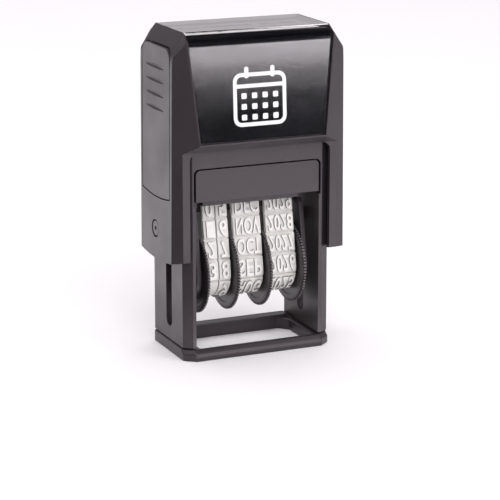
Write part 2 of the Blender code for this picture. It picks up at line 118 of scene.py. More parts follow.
# Wheels
TEETH = 82
TOOTH_DEPTH = 0.5 * MM
DISC_THICKNESS = 0.7 * MM
HUB_RADIUS = 4.55 * MM
BORE_RADIUS = 1.3 * MM
RIM_WIDTH = 1.5 * MM
DISH = 0.12 * MM
RIM_EDGE = 0.12 * MM

# Spring
WIRE_RADIUS = 0.35 * MM
COILS = 8

# Lens-shaped hollows of the side grips: the grip's face leans in by the draft above its height
HOLLOWS = 4
TOP_HOLLOW = 65.3 * MM
HOLLOW_PITCH = 3.05 * MM
HOLLOW_RADII = Vector((0.85 * MM, 6.9 * MM, 0.58 * MM))
HOLLOW_OUT = 0.5 * MM
GRIP_FACE, GRIP_FACE_HEIGHT, GRIP_DRAFT = 20.5 * MM, 60 * MM, 0.01

# Clear cover, the insert behind it and the sign printed on the insert
COVER_LEAN = 1.403 * MM
COVER_BEND = 3.0 * MM
COVER_THICKNESS = 0.7 * MM
COVER_EDGE = 0.15 * MM
COVER_FOOT_HALF_WIDTH = 14.84 * MM
COVER_SHOULDER = 71.64 * MM
STRIPS_OVER_INSERT = 12
INSERT_DEPTH = 0.75 * MM
INSERT_SHEET = 0.04 * MM
INSERT_MARGIN = 0.2 * MM
PRINT = 0.03 * MM
SIGN_PLACE = (-0.5 * MM, 9.4 * MM)
SIGN_HALF = 6.3 * MM
SIGN_TOP = 0.86 * SIGN_HALF
SIGN_LINE = 0.85 * MM

# Imprint card: from and to of its plain marks, and its date
MARKS = ((-14.2, -9.1), (-8.2, 3.4), (5.6, 9.2), (10.1, 14.2))
DATE, DATE_WIDTH, DATE_HEIGHT, DATE_DOWN = "05 JAN 2030", 28.4 * MM, 4.3 * MM, 2.2 * MM


# Node materials ---------------------------------------------------------------------------------------

class Shader:
    """A material under construction: a Principled shader and short ways to add nodes in front of it."""

    def __init__(self, name, colour, roughness, metallic=0.0, specular=0.5):
        self.material = bpy.data.materials.new(name)
        self.material.use_nodes = True
        self.tree = self.material.node_tree
        self.main = self.tree.nodes["Principled BSDF"]
        self.main.inputs["Base Color"].default_value = (*colour, 1)
        self.main.inputs["Roughness"].default_value = roughness
        self.main.inputs["Metallic"].default_value = metallic
        self.main.inputs["Specular IOR Level"].default_value = specular
        self.place = self.add("ShaderNodeTexCoord").outputs["Object"]
        self.height = None

    def add(self, kind, **settings):
        node = self.tree.nodes.new(kind)
        for key, value in settings.items():
            if key in node.inputs:
                node.inputs[key].default_value = value
            else:
                setattr(node, key, value)
        return node

    def link(self, output, target):
        self.tree.links.new(output, target)

    def noise(self, size, detail=3.0, stretch=(1, 1, 1)):
        """A noise with features of about a size in metres, stretched along an axis by numbers under 1."""
        mapping = self.add("ShaderNodeMapping", Scale=stretch)
        self.link(self.place, mapping.inputs["Vector"])
        noise = self.add("ShaderNodeTexNoise", Scale=1 / size, Detail=detail)
        self.link(mapping.outputs["Vector"], noise.inputs["Vector"])
        return noise.outputs["Fac"]

    def spread(self, value, low, high, start=0.3, end=0.7):
        """A value brought from start and end to low and high."""
        node = self.add("ShaderNodeMapRange")
        for socket, number in zip(("From Min", "From Max", "To Min", "To Max"), (start, end, low, high)):
            node.inputs[socket].default_value = number
        self.link(value, node.inputs["Value"])
        return node.outputs["Result"]

    def tint(self, value, dark, light):
        """The base colour goes from dark to light with a value from 0 to 1."""
        mix = self.add("ShaderNodeMix", data_type="RGBA")
        self.link(value, mix.inputs[0])
        mix.inputs[6].default_value = (*dark, 1)
        mix.inputs[7].default_value = (*light, 1)
        self.link(mix.outputs[2], self.main.inputs["Base Color"])
        return mix

    def rough(self, value, low, high):
        self.link(self.spread(value, low, high), self.main.inputs["Roughness"])

    def bump(self, value, depth):
        """Relief of a depth in metres, added to the relief already there."""
        node = self.add("ShaderNodeBump", Strength=1.0, Distance=depth)
        self.link(value, node.inputs["Height"])
        if self.height:
            self.link(self.height, node.inputs["Normal"])
        self.height = node.outputs["Normal"]
        self.link(self.height, self.main.inputs["Normal"])

    def surface(self, shader):
        """Another shader in place of the Principled one."""
        self.link(shader, self.tree.nodes["Material Output"].inputs["Surface"])


def moulded_plastic(name, colour, roughness, grain=0.35 * MM, relief=0.004 * MM, specular=0.5):
    """Black moulded plastic: a fine spark-eroded grain, broader flow marks and a little dust."""
    made = Shader(name, colour, roughness, specular=specular)
    flow = made.noise(9 * MM, 4.0)
    grain_value = made.noise(grain, 2.0)
    dust = made.spread(made.noise(1.3 * MM, 5.0), 0.0, 0.6, 0.64, 0.85)
    paler = tuple(min(1.0, c * 1.9 + 0.006) for c in colour)
    made.tint(dust, colour, paler)
    made.rough(flow, roughness - 0.05, roughness + 0.07)
    made.bump(flow, relief * 2)
    made.bump(grain_value, relief)
    made.main.inputs["Specular Tint"].default_value = (1.0, 0.93, 0.985, 1)
    return made.material


def rubber(name, colour, shade):
    """Off-white moulded rubber: powdery surface, with clouds of a darker tone."""
    made = Shader(name, colour, 0.62, specular=0.35)
    cloud = made.noise(2.2 * MM, 4.0)
    made.tint(made.spread(cloud, 0.0, 1.0), shade, colour)
    made.rough(made.noise(0.8 * MM), 0.55, 0.75)
    made.bump(made.noise(0.25 * MM, 3.0), 0.012 * MM)
    made.main.inputs["Subsurface Weight"].default_value = 0.12
    made.main.inputs["Subsurface Radius"].default_value = (0.9, 0.8, 0.7)
    made.main.inputs["Subsurface Scale"].default_value = 0.5 * MM
    return made.material


def steel(name):
    """Bright drawn steel: fine scratches along its length."""
    made = Shader(name, (0.62, 0.61, 0.59), 0.28, metallic=1.0)
    scratches = made.noise(0.12 * MM, 3.0, (0.05, 1, 1))
    made.tint(made.spread(scratches, 0.0, 1.0), (0.50, 0.49, 0.47), (0.70, 0.69, 0.67))
    made.rough(scratches, 0.2, 0.38)
    made.bump(scratches, 0.002 * MM)
    return made.material


def card(name, colour):
    """Uncoated card: paper fibres and a faint mottle."""
    made = Shader(name, colour, 0.75, specular=0.3)
    fibres = made.noise(0.5 * MM, 6.0, (0.35, 1, 1))
    made.tint(made.spread(fibres, 0.0, 1.0), tuple(c * 0.94 for c in colour), colour)
    made.rough(fibres, 0.68, 0.85)
    made.bump(fibres, 0.006 * MM)
    return made.material


def ink_foam(name):
    """Felt soaked with black ink: open pores, wet in places."""
    made = Shader(name, (0.012, 0.012, 0.02), 0.8)
    pores = made.noise(0.35 * MM, 6.0)
    made.tint(made.spread(pores, 0.0, 1.0), (0.006, 0.006, 0.011), (0.03, 0.03, 0.045))
    made.rough(made.noise(3 * MM), 0.35, 0.9)
    made.bump(pores, 0.12 * MM)
    return made.material


def clear_plastic(name):
    """Thin clear plastic: see-through, with its gloss by the angle and a few faint scuffs."""
    made = Shader(name, (1, 1, 1), 0.04)
    two_faces = 1.85
    fresnel = made.add("ShaderNodeFresnel", IOR=1.52)
    both_faces = made.add("ShaderNodeMath", operation="MULTIPLY", use_clamp=True)
    made.link(fresnel.outputs["Fac"], both_faces.inputs[0])
    both_faces.inputs[1].default_value = two_faces
    facing = made.add("ShaderNodeLayerWeight", Blend=0.5).outputs["Facing"]
    glancing = made.spread(facing, 0.0, 0.93, 0.48, 0.67)
    strongest = made.add("ShaderNodeMath", operation="MAXIMUM")
    made.link(both_faces.outputs["Value"], strongest.inputs[0])
    made.link(glancing, strongest.inputs[1])
    outside = made.add("ShaderNodeMath", operation="SUBTRACT", use_clamp=True)
    made.link(strongest.outputs["Value"], outside.inputs[0])
    made.link(made.add("ShaderNodeNewGeometry").outputs["Backfacing"], outside.inputs[1])
    through = made.add("ShaderNodeBsdfTransparent", Color=(0.95, 0.95, 0.95, 1))
    gloss = made.add("ShaderNodeBsdfGlossy", Color=(1, 0.965, 0.99, 1))
    scuffs = made.noise(4 * MM, 4.0, (0.2, 1, 1))
    made.link(made.spread(scuffs, 0.08, 0.12, 0.35, 0.75), gloss.inputs["Roughness"])
    waves = made.add("ShaderNodeBump", Strength=1.0, Distance=0.004 * MM)
    made.link(made.noise(12 * MM, 2.0), waves.inputs["Height"])
    made.link(waves.outputs["Normal"], gloss.inputs["Normal"])
    mix = made.add("ShaderNodeMixShader")
    made.link(outside.outputs["Value"], mix.inputs["Fac"])
    made.link(through.outputs["BSDF"], mix.inputs[1])
    made.link(gloss.outputs["BSDF"], mix.inputs[2])
    made.surface(mix.outputs["Shader"])
    return made.material


def polished_sheet(name):
    """The black insert and the clear cover pressed against it: deep black under a polished face."""
    made = Shader(name, (0.004, 0.0045, 0.006), 0.1, specular=0.92)
    scuffs = made.noise(4 * MM, 4.0, (0.2, 1, 1))
    made.link(made.spread(scuffs, 0.09, 0.13, 0.35, 0.75), made.main.inputs["Roughness"])
    made.tint(made.spread(scuffs, 0.0, 1.0), (0.0036, 0.004, 0.0056), (0.0046, 0.005, 0.0066))
    made.bump(made.noise(12 * MM, 2.0), 0.004 * MM)
    made.main.inputs["IOR"].default_value = 1.6
    made.main.inputs["Specular Tint"].default_value = (1.0, 0.965, 0.99, 1)
    return made.material


def see_through(name):
    """The clear cover where the polished insert lies against it: the insert carries the gloss of both."""
    made = Shader(name, (1, 1, 1), 0.04)
    through = made.add("ShaderNodeBsdfTransparent")
    haze = made.add("ShaderNodeMix", data_type="RGBA")
    made.link(made.noise(6 * MM, 3.0), haze.inputs[0])
    haze.inputs[6].default_value = (0.97, 0.97, 0.97, 1)
    haze.inputs[7].default_value = (0.99, 0.99, 0.99, 1)
    made.link(haze.outputs[2], through.inputs["Color"])
    made.surface(through.outputs["BSDF"])
    return made.material


SATIN_BLACK = moulded_plastic("satin_black", (0.030, 0.024, 0.027), 0.34)
GRIP_BLACK = moulded_plastic("grip_black", (0.034, 0.028, 0.031), 0.36, 0.25 * MM, 0.006 * MM)
WHEEL_BLACK = moulded_plastic("wheel_black", (0.028, 0.024, 0.026), 0.33)
# Lighter grey for the wheels' tooth tops: a painted highlight.
TOOTH_HIGHLIGHT_GREY = moulded_plastic("teeth_painted_highlight", (0.20, 0.185, 0.19), 0.25)
INSERT_BLACK = polished_sheet("insert_black")
# The type rubber is a lighter copy of the band rubber: a painted highlight on the raised type, and painted
# shade on the band's block faces between the letters.
BAND_RUBBER = rubber("band_rubber", (0.80, 0.785, 0.76), (0.70, 0.68, 0.65))
TYPE_RUBBER = rubber("type_rubber", (0.87, 0.855, 0.83), (0.80, 0.78, 0.76))
# The type's side walls get a darker copy of the rubber: painted shade at the letters' edges.
SIDE_SHADE_RUBBER = rubber("type_side_painted_shade", (0.40, 0.38, 0.365), (0.26, 0.245, 0.24))
STEEL = steel("drawn_steel")
CARD = card("white_card", (0.86, 0.86, 0.85))
PRINT_WHITE = card("white_print", (0.93, 0.93, 0.93))
PRINT_BLACK = card("black_print", (0.015, 0.015, 0.017))
INK = ink_foam("ink_felt")
CLEAR = clear_plastic("clear_cover")
CLEAR_OVER_INSERT = see_through("clear_over_insert")


# Pieces -----------------------------------------------------------------------------------------------

def piece(name, body, materials, build, replaces=None, smooth_angle=40):
    """A mesh filled in by a function, riding on a CAD body."""
    work = bmesh.new()
    build(work)
    bmesh.ops.recalc_face_normals(work, faces=work.faces)
    mesh = bpy.data.meshes.new(name)
    work.to_mesh(mesh)
    work.free()
    for face in mesh.polygons:
        face.use_smooth = True
    mesh.set_sharp_from_angle(angle=math.radians(smooth_angle))
    for material in materials:
        mesh.materials.append(material)
    made = bpy.data.objects.new(name, mesh)
    SCENE.collection.objects.link(made)
    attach(made, body)
    if replaces:
        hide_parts(replaces)
    return made


def paint(node, material):
    """Gives a CAD node that stays its material."""
    mesh = NODES[node].data
    mesh.materials.clear()
    mesh.materials.append(material)


def join_up(item):
    """Joins up a CAD node's faces, which come with loose edges."""
    weld = item.modifiers.new("weld", "WELD")
    weld.merge_threshold = 0.000002


def rounding(item, width, segments, angle):
    """Rounds the edges of a CAD node that are sharper than an angle."""
    bevel = item.modifiers.new("round_edges", "BEVEL")
    bevel.width = width
    bevel.segments = segments
    bevel.limit_method = "ANGLE"
    bevel.angle_limit = math.radians(angle)
    return bevel


def flat_shading(item):
    """Shades rounded edges smooth and keeps the faces between them flat."""
    shade = item.modifiers.new("flat_shading", "WEIGHTED_NORMAL")
    shade.mode = "FACE_AREA"
    shade.weight = 100
    for face in item.data.polygons:
        face.use_smooth = True


def round_edges(node, width):
    """Rounds a CAD node's sharp edges: its faces are joined up first, so that the rounding is even."""
    item = NODES[node]
    join_up(item)
    flat = item.modifiers.new("flat_faces", "DECIMATE")
    flat.decimate_type = "DISSOLVE"
    flat.angle_limit = math.radians(0.4)
    bevel = rounding(item, width, 3, 25)
    bevel.miter_outer = "MITER_ARC"
    flat_shading(item)


def slope_foot():
    """The foot's front and its two front corners slope back at the top, under the frame."""
    item = NODES["base_foot"]
    low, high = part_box("base_foot")
    reach, corner, around, slope = 2.3 * MM, 1.25 * MM, 1.5 * MM, 0.95 * MM

    def on_front_edge(place):
        near_corner = abs(high.x - corner - abs(place.x)) < around
        return place.z > reach and place.y < low.y + reach and near_corner

    group = item.vertex_groups.new(name="front_edge")
    top = [v.index for v in item.data.vertices if on_front_edge(item.matrix_world @ v.co)]
    group.add(top, 1.0, "REPLACE")
    bevel = item.modifiers.new("front_slope", "BEVEL")
    bevel.width = slope
    bevel.segments = 1
    bevel.limit_method = "VGROUP"
    bevel.vertex_group = group.name
    item.modifiers.move(len(item.modifiers) - 1, 2)


def bridge(work, loops, closed=False):
    """Quads between loops of as many vertices. Closed joins the last loop to the first, or both get caps."""
    made = [[work.verts.new(point) for point in loop] for loop in loops]
    pairs = list(zip(made, made[1:] + made[:1])) if closed else list(zip(made, made[1:]))
    for one, two in pairs:
        for i in range(len(one)):
            j = (i + 1) % len(one)
            work.faces.new((one[i], one[j], two[j], two[i]))
    if not closed:
        work.faces.new(made[0])
        work.faces.new(made[-1])


class Belt:
    """The closed line of a band in the Y-Z plane, from the middle of its top, down the front and round."""

    def __init__(self):
        corner_y, corner_z = CORE_HALF_TOP - CORE_CORNER, CORE_TOP - CORE_CORNER
        circles = [(-corner_y, corner_z, CORE_CORNER), (0, AXLE.z, CORE_RADIUS),
                   (corner_y, corner_z, CORE_CORNER)]
        self.pieces = []
        turns = []
        for (y0, z0, r0), (y1, z1, r1) in zip(circles, circles[1:] + circles[:1]):
            lean = math.acos((r0 - r1) / math.hypot(y1 - y0, z1 - z0))
            turns.append(math.atan2(z1 - z0, y1 - y0) - lean)
        for i, (y, z, r) in enumerate(circles):
            start, end = turns[i - 1], turns[i]
            end += 2 * math.pi * math.ceil((start - end) / (2 * math.pi))
            y1, z1, r1 = circles[(i + 1) % 3]
            leave = (y + r * math.cos(end), z + r * math.sin(end))
            arrive = (y1 + r1 * math.cos(end), z1 + r1 * math.sin(end))
            self.pieces.append(("arc", r * (end - start), (y, z, r, start, end)))
            self.pieces.append(("line", math.dist(leave, arrive), (leave, arrive, end)))
        self.length = sum(part[1] for part in self.pieces)
        self.start = self.length - self.pieces[-1][1] / 2

    def at(self, along, out, x):
        """The point at a distance along the belt, moved outwards, at an X."""
        left = (self.start + along) % self.length
        for kind, length, data in self.pieces:
            if left <= length:
                break
            left -= length
        share = left / length
        if kind == "arc":
            y, z, r, start, end = data
            angle = start + (end - start) * share
            y, z = y + r * math.cos(angle), z + r * math.sin(angle)
        else:
            (y0, z0), (y1, z1), angle = data
            y, z = y0 + (y1 - y0) * share, z0 + (z1 - z0) * share
        return Vector((x, PIVOT.y + y + out * math.cos(angle), z + out * math.sin(angle)))


BELT = Belt()
PITCH = BELT.length / BLOCKS


def text_mesh(work, text, width, height, place, slices, levels, faces, weight):
    """Adds solid letters to a mesh. place turns (across, up, out) into a point, slices are heights at which
    the letters are cut so that they can bend, levels are their bottom and top, and faces are the material
    slots of their tops and sides."""
    low, high = levels
    curve = bpy.data.curves.new("letters", "FONT")
    curve.body = text
    curve.extrude = 0.5
    curve.resolution_u = 3
    curve.space_character = 1.06
    curve.offset = weight
    holder = bpy.data.objects.new("letters", curve)
    SCENE.collection.objects.link(holder)
    mesh = bpy.data.meshes.new_from_object(holder.evaluated_get(bpy.context.evaluated_depsgraph_get()))
    bpy.data.objects.remove(holder)
    letters = bmesh.new()
    letters.from_mesh(mesh)
    bmesh.ops.remove_doubles(letters, verts=letters.verts, dist=1e-5)
    low_x, high_x = min(v.co.x for v in letters.verts), max(v.co.x for v in letters.verts)
    low_y, high_y = min(v.co.y for v in letters.verts), max(v.co.y for v in letters.verts)
    for vert in letters.verts:
        vert.co.x = ((vert.co.x - low_x) / (high_x - low_x) - 0.5) * width
        vert.co.y = ((vert.co.y - low_y) / (high_y - low_y) - 0.5) * height
    for level in slices:
        everything = letters.verts[:] + letters.edges[:] + letters.faces[:]
        bmesh.ops.bisect_plane(letters, geom=everything, plane_co=(0, level, 0), plane_no=(0, 1, 0))
    bmesh.ops.recalc_face_normals(letters, faces=letters.faces)
    made = {}
    for vert in letters.verts:
        level = high if vert.co.z > 0 else low
        made[vert] = work.verts.new(place(vert.co.x, vert.co.y, level))
    for face in letters.faces:
        added = work.faces.new([made[v] for v in face.verts])
        added.material_index = faces[0] if abs(face.normal.z) > 0.5 else faces[1]
    letters.free()


def band(name):
    """A rubber band: its backing, a block for each row and the raised type on it."""
    labels, width = LABELS[name]
    node = name + "_band"
    low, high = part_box(node)
    face_out = BACKING / 2 + BLOCK_HEIGHT

    def build(work):
        stations = 120
        loops = []
        for i in range(stations):
            along = BELT.length * i / stations
            loops.append([BELT.at(along, -BACKING / 2, low.x), BELT.at(along, BACKING / 2, low.x),
                          BELT.at(along, BACKING / 2, high.x), BELT.at(along, -BACKING / 2, high.x)])
        bridge(work, loops, closed=True)
        middle_x = (low.x + high.x) / 2
        for row, label in enumerate(labels):
            centre = row * PITCH
            half = (PITCH - BLOCK_GAP) / 2
            steps = [-half, -half + BLOCK_EDGE] + [half * t for t in (-0.7, -0.4, -0.1, 0.1, 0.4, 0.7)]
            steps += [half - BLOCK_EDGE, half]
            sections = []
            for step in steps:
                end = abs(step) == half
                top = face_out - (BLOCK_EDGE if end else 0)
                sink = 0.05 * MM
                outline = [(low.x, BACKING / 2 - sink), (low.x, top - BLOCK_EDGE),
                           (low.x + BLOCK_EDGE, top), (high.x - BLOCK_EDGE, top),
                           (high.x, top - BLOCK_EDGE), (high.x, BACKING / 2 - sink)]
                sections.append([BELT.at(centre + step, out, x) for x, out in outline])
            bridge(work, sections)
            if label:
                def place(across, up, out, centre=centre):
                    return BELT.at(centre + up, face_out + out, middle_x + across)
                slices = [TYPE_HEIGHT * (t / 8 - 0.5) for t in range(1, 8)]
                text_mesh(work, label, width, TYPE_HEIGHT, place, slices, (-TYPE_SINK, TYPE_RAISE), (1, 2),
                          0.022)

    # Slot 1, the type's tops, gets the lighter type rubber as a painted highlight; slot 2, the type's side
    # walls, gets the darker rubber as painted shade.
    rubbers = [BAND_RUBBER, TYPE_RUBBER, SIDE_SHADE_RUBBER]
    piece(node + "_type", "carriage", rubbers, build, node, 35)


def wheel(name):
    """A hub with a thumb disc at one end, its rim cut with fine teeth; the tooth tops are a lighter grey, a
    painted highlight.
    """
    node = name + "_wheel"
    low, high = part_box(node)
    rim = (high.z - low.z) / 2
    disc_low = name == "tens"
    count = TEETH * 4

    def ring(x, radius, toothed):
        points = []
        for i in range(count):
            tooth, part = divmod(i, 4)
            angle = 2 * math.pi * (tooth + (0.0, 0.28, 0.5, 0.78)[part]) / TEETH
            r = radius - (TOOTH_DEPTH if toothed and part in (0, 1) else 0)
            points.append((x, AXLE.y + r * math.cos(angle), AXLE.z + r * math.sin(angle)))
        return points

    def build(work):
        face, far = (low.x, high.x) if disc_low else (high.x, low.x)
        way = 1 if disc_low else -1
        inner = face + way * DISC_THICKNESS
        root = rim - TOOTH_DEPTH - RIM_EDGE
        bowl = rim - RIM_WIDTH
        bowl_foot = bowl - 0.2 * MM
        rings = [(far, BORE_RADIUS, False), (face + way * DISH, BORE_RADIUS, False),
                 (face + way * DISH, bowl_foot, False), (face, bowl, False),
                 (face, root, False), (face + way * RIM_EDGE, rim, True),
                 (inner - way * RIM_EDGE, rim, True), (inner, root, False),
                 (inner, bowl, False), (inner - way * DISH, bowl_foot, False),
                 (inner - way * DISH, HUB_RADIUS, False), (far, HUB_RADIUS, False)]
        bridge(work, [ring(*spec) for spec in rings], closed=True)
        work.faces.ensure_lookup_table()
        # The tooth tops get the lighter grey: a painted highlight along the rim.
        tooth_tops = work.faces[5 * count:6 * count][2::4]
        for top in tooth_tops:
            top.material_index = 1

    piece(node + "_knurled", name, [WHEEL_BLACK, TOOTH_HIGHLIGHT_GREY], build, node, 30)


def spring():
    """Round wire wound in a helix, its end coils closed."""
    low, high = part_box("return_spring")
    radius = (high.x - low.x) / 2 - WIRE_RADIUS
    per_turn, sides = 36, 12
    count = COILS * per_turn
    bottom, top = low.z + WIRE_RADIUS, high.z - WIRE_RADIUS
    rise = WIRE_RADIUS * 2.3

    def centre(i):
        angle = 2 * math.pi * i / per_turn
        if i <= per_turn:
            z = bottom + rise * i / per_turn
        elif i >= count - per_turn:
            z = top - rise * (count - i) / per_turn
        else:
            z = bottom + rise + (top - bottom - 2 * rise) * (i - per_turn) / (count - 2 * per_turn)
        return Vector((radius * math.cos(angle), AXLE.y + radius * math.sin(angle), z)), angle

    def build(work):
        loops = []
        for i in range(count + 1):
            middle, angle = centre(i)
            outward = Vector((math.cos(angle), math.sin(angle), 0))
            loops.append([middle + WIRE_RADIUS * (math.cos(t) * outward + Vector((0, 0, math.sin(t))))
                          for t in (2 * math.pi * k / sides for k in range(sides))])
        bridge(work, loops)

    made = piece("return_spring_wire", "root", [STEEL], build, "return_spring", 60)
    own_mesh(made)


def ink_pad():
    """The felt block: crowned face, rounded edges."""
    low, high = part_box("ink_pad")
    nx, ny, crown = 24, 12, 0.1 * MM

    def build(work):
        edge = 0.5 * MM
        levels = [(high.z, 0), (low.z + edge, 0), (low.z + edge * 0.35, edge * 0.3), (low.z + crown, edge)]
        loops = []
        for z, inset in levels:
            x0, x1, y0, y1 = low.x + inset, high.x - inset, low.y + inset, high.y - inset
            front = [(x0 + (x1 - x0) * i / nx, y0, z) for i in range(nx)]
            right = [(x1, y0 + (y1 - y0) * i / ny, z) for i in range(ny)]
            back = [(x1 - (x1 - x0) * i / nx, y1, z) for i in range(nx)]
            left = [(x0, y1 - (y1 - y0) * i / ny, z) for i in range(ny)]
            loops.append(front + right + back + left)
        bridge(work, loops)

    made = piece("ink_felt", "pad", [INK], build, "ink_pad", 60)


def lens_cutter(name, side):
    """Four lens-shaped hollows for a side grip, as one hidden cutter."""
    work = bmesh.new()
    for row in range(HOLLOWS):
        z = TOP_HOLLOW - row * HOLLOW_PITCH
        x = GRIP_FACE + GRIP_DRAFT * (GRIP_FACE_HEIGHT - z) + HOLLOW_OUT
        shape = Matrix.LocRotScale(Vector((side * x, PIVOT.y, z)), None, HOLLOW_RADII)
        bmesh.ops.create_uvsphere(work, u_segments=32, v_segments=16, radius=1.0, matrix=shape)
    mesh = bpy.data.meshes.new(name)
    work.to_mesh(mesh)
    work.free()
    cutter = bpy.data.objects.new(name, mesh)
    SCENE.collection.objects.link(cutter)
    cutter.hide_render = True
    cutter.hide_viewport = True
    return cutter


def side_grip(node, side):
    """Cuts the hollows into a side grip and rounds its edges."""
    item = NODES[node]
    join_up(item)
    cut = item.modifiers.new("hollows", "BOOLEAN")
    cut.object = lens_cutter(node + "_hollows", side)
    cut.solver = "EXACT"
    rounding(item, 0.12 * MM, 2, 30)
    flat_shading(item)
    paint(node, GRIP_BLACK)


def slab(work, outline, place, low, high, material_index=0):
    """A flat outline in (across, up), made into a thin slab between two distances outwards."""
    loops = [[place(a, b, out) for a, b in outline] for out in (low, high)]
    before = len(work.faces)
    bridge(work, loops)
    work.faces.ensure_lookup_table()
    for face in work.faces[before:]:
        face.material_index = material_index


def rounded_box(x0, y0, x1, y1, radius, steps=6):
    """The outline of a rectangle with round corners."""
    points = []
    for cx, cy, start in ((x1 - radius, y1 - radius, 0), (x0 + radius, y1 - radius, 90),
                          (x0 + radius, y0 + radius, 180), (x1 - radius, y0 + radius, 270)):
        for i in range(steps + 1):
            angle = math.radians(start + 90 * i / steps)
            points.append((cx + radius * math.cos(angle), cy + radius * math.sin(angle)))
    return points


def ring_slab(work, outer, inner, place, low, high, material_index=0):
    """A flat frame between two outlines of as many points."""
    before = len(work.faces)
    loops = [[place(a, b, out) for a, b in line] for line, out in
             ((outer, low), (outer, high), (inner, high), (inner, low))]
    bridge(work, loops, closed=True)
    work.faces.ensure_lookup_table()
    for face in work.faces[before:]:
        face.material_index = material_index


def cover_line():
    """The line over the cap that the clear cover follows, in the Y-Z plane, and its outward normals."""
    low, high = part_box("index_cover")
    support = 0.4 * MM
    round_pull = 0.55
    steps = 16

    def side(end, inward):
        """From the lower edge to the top, past the bend."""
        foot = Vector((end, low.z))
        up = Vector((inward * COVER_LEAN, high.z - low.z)).normalized()
        ahead = Vector((inward, 0))
        corner = Vector((end + inward * COVER_LEAN, high.z))
        start, stop = corner - up * COVER_BEND, corner + ahead * COVER_BEND
        one, two = start.lerp(corner, round_pull), stop.lerp(corner, round_pull)
        points = [foot, foot + up * COVER_EDGE, foot + up * 4 * COVER_EDGE]
        points += [foot.lerp(start, t) for t in (0.2, 0.4, 0.6, 0.8)]
        points.append(start - up * support)
        for i in range(steps + 1):
            t = i / steps
            points.append((1 - t) ** 3 * start + 3 * (1 - t) ** 2 * t * one
                          + 3 * (1 - t) * t * t * two + t ** 3 * stop)
        points.append(stop + ahead * support)
        return points

    line = side(low.y, 1) + side(high.y, -1)[::-1]
    normals = []
    for i, point in enumerate(line):
        along = line[min(i + 1, len(line) - 1)] - line[max(i - 1, 0)]
        normals.append(Vector((-along.y, along.x)).normalized())
    return line, normals


def cover_half_width(z):
    """Half the clear cover's width at a height: it widens from its lower edge to the shoulder."""
    low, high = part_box("index_cover")
    share = min(1, (z - low.z) / (COVER_SHOULDER - low.z))
    return COVER_FOOT_HALF_WIDTH + (high.x - COVER_FOOT_HALF_WIDTH) * share


def clear_cover():
    """The clear cover: a strip bent over the cap with smooth bends."""
    line, normals = cover_line()
    back, edge = -COVER_THICKNESS, COVER_EDGE

    def build(work):
        loops = []
        for i, (point, normal) in enumerate(zip(line, normals)):
            half = cover_half_width(point.y)
            cut = edge if i in (0, len(line) - 1) else 0
            section = [(-half, back + edge), (-half, -edge - cut), (-half + edge, -cut),
                       (-half + 4 * edge, -cut), (half - 4 * edge, -cut), (half - edge, -cut),
                       (half, -edge - cut), (half, back + edge), (half - edge, back), (-half + edge, back)]
            loops.append([(x, point.x + normal.x * out, point.y + normal.y * out) for x, out in section])
        bridge(work, loops)
        work.faces.ensure_lookup_table()
        around = len(loops[0])
        last = len(loops) - 2
        outer_and_inner = (2, 3, 4, 8)
        for strip in range(1, STRIPS_OVER_INSERT + 1):
            for side in outer_and_inner:
                work.faces[strip * around + side].material_index = 1
                work.faces[(last - strip) * around + side].material_index = 1

    piece("clear_cover", "cap", [CLEAR, CLEAR_OVER_INSERT], build, "index_cover")


def cover_insert():
    """The two black sheets behind the clear cover, at the front and at the rear, up to the imprint card."""
    line, normals = cover_line()
    per_side = len(line) // 2

    def build(work):
        for part in (slice(1, per_side), slice(-per_side, -1)):
            loops = []
            for point, normal in list(zip(line, normals))[part]:
                half = cover_half_width(point.y) - INSERT_MARGIN
                back = INSERT_DEPTH + INSERT_SHEET
                section = ((-half, INSERT_DEPTH), (half, INSERT_DEPTH), (half, back), (-half, back))
                loops.append([(x, point.x - normal.x * deep, point.y - normal.y * deep)
                              for x, deep in section])
            bridge(work, loops)

    piece("cover_insert", "cap", [INSERT_BLACK], build)


def front_sign():
    """A plain calendar sign printed in white on the front insert: a frame, a head, rings and 12 days."""
    line = cover_line()[0]
    straight_end = 7
    rise = (line[straight_end] - line[0]).normalized()
    up = Vector((0, rise.x, rise.y))
    out = Vector((1, 0, 0)).cross(up)
    bottom = Vector((0, line[0].x, line[0].y)) - out * (INSERT_DEPTH - 0.002 * MM)
    x, y = SIGN_PLACE
    left, right = x - SIGN_HALF, x + SIGN_HALF
    foot, top = y - SIGN_HALF, y + SIGN_TOP
    inner_left, inner_right = left + SIGN_LINE, right - SIGN_LINE
    ring_apart, ring_half, ring_down, ring_up = 3.1 * MM, 0.5 * MM, 1.2 * MM, 1.3 * MM
    head = top - 3.3 * MM
    day_half, day_apart, week_apart, last_week = 0.62 * MM, 2.5 * MM, 2.35 * MM, y - 4.3 * MM

    def place(a, b, o):
        return bottom + Vector((a, 0, 0)) + up * b + out * o

    def build(work):
        outer = rounded_box(left, foot, right, top, 1.9 * MM)
        inner = rounded_box(inner_left, foot + SIGN_LINE, inner_right, top - SIGN_LINE, 1.1 * MM)
        ring_slab(work, outer, inner, place, 0, PRINT)
        slab(work, [(inner_left, head), (inner_right, head), (inner_right, head + SIGN_LINE),
                    (inner_left, head + SIGN_LINE)], place, 0, PRINT)
        for ring_x in (x - ring_apart, x + ring_apart):
            slab(work, rounded_box(ring_x - ring_half, top - ring_down, ring_x + ring_half, top + ring_up,
                                   0.49 * MM), place, 0, PRINT * 1.5)
        for row in range(3):
            for column in range(4):
                cx, cy = x + (column - 1.5) * day_apart, last_week + row * week_apart
                day = rounded_box(cx - day_half, cy - day_half, cx + day_half, cy + day_half, 0.25 * MM, 3)
                slab(work, day, place, 0, PRINT)

    piece("front_sign", "cap", [PRINT_WHITE], build)


